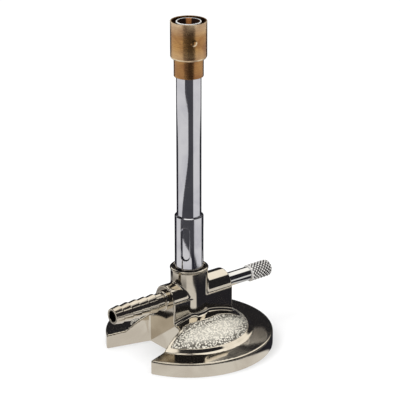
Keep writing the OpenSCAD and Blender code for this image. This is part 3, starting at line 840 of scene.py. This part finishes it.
def pipeMaterial(name):
    # Polished pipe with painted light at its mouth: a painted highlight, pale and dull, on its top face,
    # and inside the bore painted shade with a painted reflection of the brass, a brown streak, down one
    # side: the highlight's mask is height times radius, and the bore's is nearness to the bore times height
    c = chrome
    material = platedMetal(name, c["colour"], c["darker"], c["roughness"], 0.003, (70, 70, 900), 0.4)
    tree = material.node_tree
    shader = tree.nodes["Principled BSDF"]
    parts = addNode(tree, "ShaderNodeSeparateXYZ", {"Vector": objectPoint(tree)}).outputs
    flat = addNode(tree, "ShaderNodeCombineXYZ", {"X": parts["X"], "Y": parts["Y"]}).outputs[0]
    radius = addNode(tree, "ShaderNodeVectorMath", {0: flat}, operation="LENGTH").outputs["Value"]
    inner = tube["inner"] * mm

    def overHeight(low, high):
        # A soft step between two depths below the pipe's top
        return rampOut(tree, parts["Z"], (tube["high"] - low) * mm, (tube["high"] - high) * mm)

    def overRadius(low, high):
        # A soft step between two distances outside the bore
        return rampOut(tree, radius, inner + low * mm, inner + high * mm)

    rim = mathOut(tree, "MULTIPLY", overHeight(*c["rimBelow"]), overRadius(*c["rimFrom"]))
    paintedBore = mathOut(tree, "MULTIPLY", overRadius(*c["boreFrom"]), overHeight(*c["shadeBelow"]))
    # the painted reflection of the brass is brown down one side of the bore; the rest of the bore is painted
    # shade
    reflectionWay = (math.cos(c["reflectionAngle"]), math.sin(c["reflectionAngle"]), 0)
    side = addNode(tree, "ShaderNodeVectorMath", {0: flat, 1: reflectionWay}, operation="DOT_PRODUCT")
    streak = rampOut(tree, side.outputs["Value"], *(inner * part for part in c["reflectionFrom"]))
    mouth = mixOut(tree, streak, (*c["boreShade"], 1), (*c["brassReflection"], 1))
    colour = mixOut(tree, paintedBore, shader.inputs["Base Color"].links[0].from_socket, mouth)
    # Painted highlight and painted shade both make the surface rougher and less metallic
    paintedLight = mathOut(tree, "MAXIMUM", rim, mathOut(tree, "MULTIPLY", paintedBore, c["shadeWeight"]))
    feed(shader, {"Base Color": mixOut(tree, rim, colour, (*c["rim"], 1)),
                  "Roughness": rampOut(tree, paintedLight, 0, 1, c["roughness"], c["paintedLightRoughness"]),
                  "Metallic": rampOut(tree, paintedLight, 0, 1, 1.0, c["paintedLightMetal"])})
    return material


# The palest brass colour is a painted highlight for the cup's edges
brass = {"colour": (0.60, 0.335, 0.12), "tarnish": (0.36, 0.17, 0.07), "paintedLight": (0.95, 0.82, 0.58),
         "roughness": 0.2, "linesRoughness": 0.12, "smearSize": 120.0, "stretch": (60, 60, 4500),
         "linesFrom": (0.3, 0.7), "linesTint": 0.25, "hotBelow": 5, "hotTint": 0.55, "smearedHighlight": 0.55,
         "paintedLightMetal": 0.35, "bump": 0.02}


def brassMaterial(name, heated):
    # Turned brass: darker where it is tarnished, and browner towards the flame if it is heated; a heated one
    # also gets painted highlights, pale brass on the edges that the cup's mask marks
    b = brass
    tarnish = (*b["tarnish"], 1)
    material, tree, shader = newMaterial(name, b["colour"], b["roughness"])
    point = objectPoint(tree)
    smear = placeGroup(tree, platingWear, {"Vector": point, "Smear Size": b["smearSize"]}).outputs["Smear"]
    lines = placeGroup(tree, turningLines, {"Vector": point, "Stretch": b["stretch"]}).outputs["Lines"]
    colour = mixOut(tree, smear, (*b["colour"], 1), tarnish)
    if heated:
        height = addNode(tree, "ShaderNodeSeparateXYZ", {"Vector": point}).outputs["Z"]
        hot = rampOut(tree, height, (cup["top"] - b["hotBelow"]) * mm, cup["top"] * mm, 0.0, b["hotTint"])
        colour = mixOut(tree, hot, colour, tarnish)
    colour = mixOut(tree, rampOut(tree, lines, *b["linesFrom"], 0.0, b["linesTint"]), colour, tarnish)
    if heated:
        # Painted highlight: the marked edges are mixed towards pale brass, less where smeared, and made less
        # metallic
        edge = mathOut(tree, "MULTIPLY", maskOut(tree, "paintedHighlight"),
                       rampOut(tree, smear, 0, 1, 1.0, b["smearedHighlight"]))
        colour = mixOut(tree, edge, colour, (*b["paintedLight"], 1))
        feed(shader, {"Metallic": rampOut(tree, edge, 0, 1, 1.0, b["paintedLightMetal"])})
    rough = rampOut(tree, lines, *b["linesFrom"], b["roughness"], b["roughness"] + b["linesRoughness"])
    feed(shader, {"Base Color": colour, "Roughness": rough})
    bumpInto(tree, shader, lines, b["bump"] * mm)
    return material


def dullMaterial(name, colour, darker, roughness):
    # Rubber and fibre: a mottled, unpolished surface
    material, tree, shader = newMaterial(name, colour, roughness, metallic=0.0)
    wear = placeGroup(tree, platingWear, {"Vector": objectPoint(tree), "Smear Size": 700.0})
    feed(shader, {"Base Color": mixOut(tree, wear.outputs["Smear"], (*colour, 1), (*darker, 1))})
    bumpInto(tree, shader, wear.outputs["Peel"], 0.02 * mm)
    return material


print("making the casting")
castingBody = makeCasting()
print("casting triangles", len(castingBody.data.polygons))

print("making the turned pieces")
hoseNipple, valveStem, knurledKnob = makeNipple(), makeSpindle(), makeKnob()
airSleeve, mixingPipe, stabiliserCup = makeShutter(), makeTube(), makeCup()

print("materials")
finishes = {
    castingBody: castingMaterial(),
    hoseNipple: platedMetal("nippleNickel", nickel["colour"], nickel["darker"], 0.07,
                            0.004, (3000, 60, 60), 0.8),
    valveStem: platedMetal("stemChrome", (0.74, 0.735, 0.72), (0.66, 0.65, 0.63), 0.05,
                           0.002, (2500, 60, 60), 0.6),
    knurledKnob: knurledMetal("knobNickel"),
    airSleeve: platedMetal("sleeveChrome", chrome["colour"], chrome["darker"], 0.05,
                           0.003, (50, 50, 2600), 0.5),
    mixingPipe: pipeMaterial("pipeChrome"),
    stabiliserCup: brassMaterial("cupBrass", True),
}
for piece, material in finishes.items():
    piece.data.materials.append(material)
hiddenFinishes = {
    "gas_jet": brassMaterial("jetBrass", False),
    "jet_washer": dullMaterial("redFibre", (0.32, 0.09, 0.05), (0.2, 0.05, 0.03), 0.8),
    "spindle_o_ring": dullMaterial("sealRubber", (0.02, 0.02, 0.02), (0.05, 0.05, 0.05), 0.5),
}
for node, material in hiddenFinishes.items():
    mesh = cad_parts[node].data
    mesh.materials.clear()
    mesh.materials.append(material)

print("riding")
for piece, body, node, slotName in (
        (castingBody, "root", "base_casting", "plated_casting"),
        (hoseNipple, "root", "hose_nipple", "plated_nipple"),
        (mixingPipe, "root", "mixing_tube", "tube_chrome"),
        (stabiliserCup, "root", "flame_stabiliser", "stabiliser_brass"),
        (airSleeve, "shutter", "air_shutter", "shutter_chrome"),
        (valveStem, "valve", "valve_spindle", "spindle_chrome"),
        (knurledKnob, "valve", "valve_knob", "knob_nickel")):
    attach(piece, body)
    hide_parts(node)


view = {"azimuth": math.radians(37.9565), "distance": 0.80989, "height": 0.383845, "pitch": 0.370745,
        "yaw": 0.006027, "lens": 176.05}


def makeCamera():
    # A camera at a distance and a height, turned by its pitch and yaw from looking at the axis
    v = view
    right = Vector((math.cos(v["azimuth"]), -math.sin(v["azimuth"]), 0))
    away = Vector((math.sin(v["azimuth"]), math.cos(v["azimuth"]), 0))
    forward = (right * math.sin(v["yaw"]) + away * math.cos(v["yaw"])) * math.cos(v["pitch"])
    forward += Vector((0, 0, -math.sin(v["pitch"])))
    data = bpy.data.cameras.new("camera")
    data.lens, data.sensor_width = v["lens"], 36
    camera = bpy.data.objects.new("camera", data)
    camera.location = away * -v["distance"] + Vector((0, 0, v["height"]))
    camera.rotation_euler = forward.to_track_quat("-Z", "Y").to_euler()
    bpy.context.scene.collection.objects.link(camera)
    bpy.context.scene.camera = camera


studio = {"towardsCamera": math.radians(-127.96), "sky": (1, 1, 1, 1), "dark": (0.02, 0.02, 0.024, 1),
          "card": (1.25, 1.22, 1.16, 1), "glossFloor": (0.80, 0.79, 0.78, 1),
          "glossShade": (0.022, 0.022, 0.03, 1), "paper": (0.93, 0.93, 0.93, 1), "paperGlow": 0.4}

# Each card is white where all its soft edges are passed: a direction, and the two values, parts of a
# unit ray, between which it turns from dark to white
cards = {
    "ceiling": (("up", 0.50, 0.56), ("near", -0.08, -0.14), ("across", -0.18, -0.10), ("across", 0.72, 0.64)),
    "ceilingSide": (("up", 0.36, 0.42), ("across", 0.30, 0.40), ("near", -0.08, -0.14),
                    ("across", 0.72, 0.64)),
    "left": (("across", -0.22, -0.30), ("near", -0.50, -0.60), ("up", 0.38, 0.44)),
    "front": (("near", 0.24, 0.30), ("near", 0.60, 0.54), ("up", 0.70, 0.76)),
    "side": (("across", -0.16, -0.22), ("near", -0.30, -0.24), ("up", 0.84, 0.90)),
}


def besideCamera(tree, vector):
    # How far a direction or a place on the table lies to the camera's right, towards it, and up
    turn = addNode(tree, "ShaderNodeVectorRotate",
                   {"Vector": vector, "Angle": math.pi / 2 - studio["towardsCamera"]}, rotation_type="Z_AXIS")
    parts = addNode(tree, "ShaderNodeSeparateXYZ", {"Vector": turn.outputs[0]}).outputs
    return mathOut(tree, "MULTIPLY", parts["X"], -1.0), parts["Y"], parts["Z"]


def makeWorld():
    # A white room for the eye and for soft light; polished metal sees the cards in a dark one: each
    # is the product of its edges, and the brightest card counts
    world = bpy.data.worlds.new("studio")
    bpy.context.scene.world = world
    world.use_nodes = True
    tree = world.node_tree
    tree.nodes.clear()
    direction = tree.nodes.new("ShaderNodeTexCoord").outputs["Generated"]
    part = dict(zip(("across", "near", "up"), besideCamera(tree, direction)))
    lit = [mathOut(tree, "MULTIPLY", *(rampOut(tree, part[way], dark, white) for way, dark, white in edges))
           for edges in cards.values()]
    gloss = mixOut(tree, mathOut(tree, "MAXIMUM", *lit), studio["dark"], studio["card"])
    rays = tree.nodes.new("ShaderNodeLightPath")
    seen = mixOut(tree, rays.outputs["Is Glossy Ray"], studio["sky"], gloss)
    background = addNode(tree, "ShaderNodeBackground", {"Color": seen, "Strength": 1.0})
    out = tree.nodes.new("ShaderNodeOutputWorld")
    tree.links.new(background.outputs[0], out.inputs["Surface"])


# The shades that polished metal sees in the table. An edge is an angle in degrees about the burner, 0
# towards the camera and positive to its right, then (change, from, to): it turns by the change
# between two distances from the burner. The other values are soft steps over that distance, in
# metres, except that rimReach is a step over the length of the ray.
shades = {
    "stripLeft": (42, (-22, 0.066, 0.086), (-90, 0.105, 0.140), (65, 0.150, 0.270), (-30, 0.330, 0.380)),
    "stripRight": (118, (-58, 0.088, 0.100), (-20, 0.102, 0.115)),
    "stripStart": (0.046, 0.052), "stripFade": (0.105, 0.130, 1.0, 0.93),
    "rimEdge": (74, (-41, 0.039, 0.0544)), "rimReach": (0.030, 0.026),
    "greyEdge": (-16,), "greyStart": (0.050, 0.058), "greyFade": (0.092, 0.080, 0.0, 0.66),
    "behindEdge": (115, (20, 0.26, 0.36)), "behindStart": (0.065, 0.085),
}


def makeFloor():
    # A white table. Polished metal sees four shades in it, each a product of soft edges, and the
    # darkest one counts: a strip that starts on the right and runs towards the camera, the rim's
    # own, a grey one on the left and one behind the burner
    size = 4.0
    corners = [(-size, -size, 0), (size, -size, 0), (size, size, 0), (-size, size, 0)]
    mesh = bpy.data.meshes.new("table")
    mesh.from_pydata(corners, [], [(0, 1, 2, 3)])
    floor = bpy.data.objects.new("table", mesh)
    bpy.context.scene.collection.objects.link(floor)
    material = bpy.data.materials.new("tableWhite")
    material.use_nodes = True
    tree = material.node_tree
    tree.nodes.clear()
    position = tree.nodes.new("ShaderNodeNewGeometry").outputs["Position"]
    across, near, _ = besideCamera(tree, position)
    squares = mathOut(tree, "MULTIPLY", across, across), mathOut(tree, "MULTIPLY", near, near)
    radius = mathOut(tree, "SQRT", mathOut(tree, "ADD", *squares))
    angle = mathOut(tree, "ARCTAN2", across, near)

    def beyond(turn, edge, softness):
        # 1 where the turn is past the edge, or short of it if the softness is negative
        start, *steps = edge
        limit = math.radians(start)
        for change, low, high in steps:
            limit = mathOut(tree, "ADD", limit, rampOut(tree, radius, low, high, 0.0, math.radians(change)))
        past = mathOut(tree, "SUBTRACT", turn, limit)
        return rampOut(tree, past, -math.radians(softness), math.radians(softness))

    d = shades
    rays = tree.nodes.new("ShaderNodeLightPath")
    strip = mathOut(tree, "MULTIPLY", beyond(angle, d["stripLeft"], 3), beyond(angle, d["stripRight"], -3),
                    rampOut(tree, radius, *d["stripStart"]), rampOut(tree, radius, *d["stripFade"]))
    # The rim alone sees the floor from this close
    rimShade = mathOut(tree, "MULTIPLY", beyond(angle, d["rimEdge"], 3),
                       rampOut(tree, rays.outputs["Ray Length"], *d["rimReach"]))
    leftGrey = mathOut(tree, "MULTIPLY", beyond(angle, d["greyEdge"], -5),
                       rampOut(tree, radius, *d["greyStart"]), rampOut(tree, radius, *d["greyFade"]))
    behind = mathOut(tree, "MULTIPLY", beyond(mathOut(tree, "ABSOLUTE", angle), d["behindEdge"], 4),
                     rampOut(tree, radius, *d["behindStart"]))
    shade = mathOut(tree, "MAXIMUM", strip, rimShade, leftGrey, behind)
    gloss = mixOut(tree, shade, studio["glossFloor"], studio["glossShade"])
    glow = addNode(tree, "ShaderNodeEmission", {"Color": gloss, "Strength": 1.0})
    paper = addNode(tree, "ShaderNodeBsdfDiffuse", {"Color": studio["paper"]})
    lit = addNode(tree, "ShaderNodeEmission", {"Color": (1, 1, 1, 1), "Strength": 1.0})
    paper = addNode(tree, "ShaderNodeMixShader", {0: studio["paperGlow"], 1: paper.outputs[0],
                                                  2: lit.outputs[0]})
    mixed = addNode(tree, "ShaderNodeMixShader", {0: rays.outputs["Is Glossy Ray"], 1: paper.outputs[0],
                                                  2: glow.outputs[0]})
    out = tree.nodes.new("ShaderNodeOutputMaterial")
    tree.links.new(mixed.outputs[0], out.inputs["Surface"])
    mesh.materials.append(material)


def addSoftbox(name, place, target, size, power):
    # A square light at a place, turned to the target, that polished metal doesn't mirror
    data = bpy.data.lights.new(name, "AREA")
    data.shape, data.size, data.energy = "SQUARE", size, power
    light = bpy.data.objects.new(name, data)
    light.location = place
    light.rotation_euler = (Vector(target) - Vector(place)).to_track_quat("-Z", "Y").to_euler()
    light.visible_glossy = False
    bpy.context.scene.collection.objects.link(light)


print("studio")
makeCamera()
makeWorld()
makeFloor()
addSoftbox("keyLight", (-0.7, 0.1, 0.9), (0, 0, 0.05), 0.6, 6)
bpy.context.scene.view_settings.view_transform = "Standard"
bpy.context.scene.view_settings.look = "None"
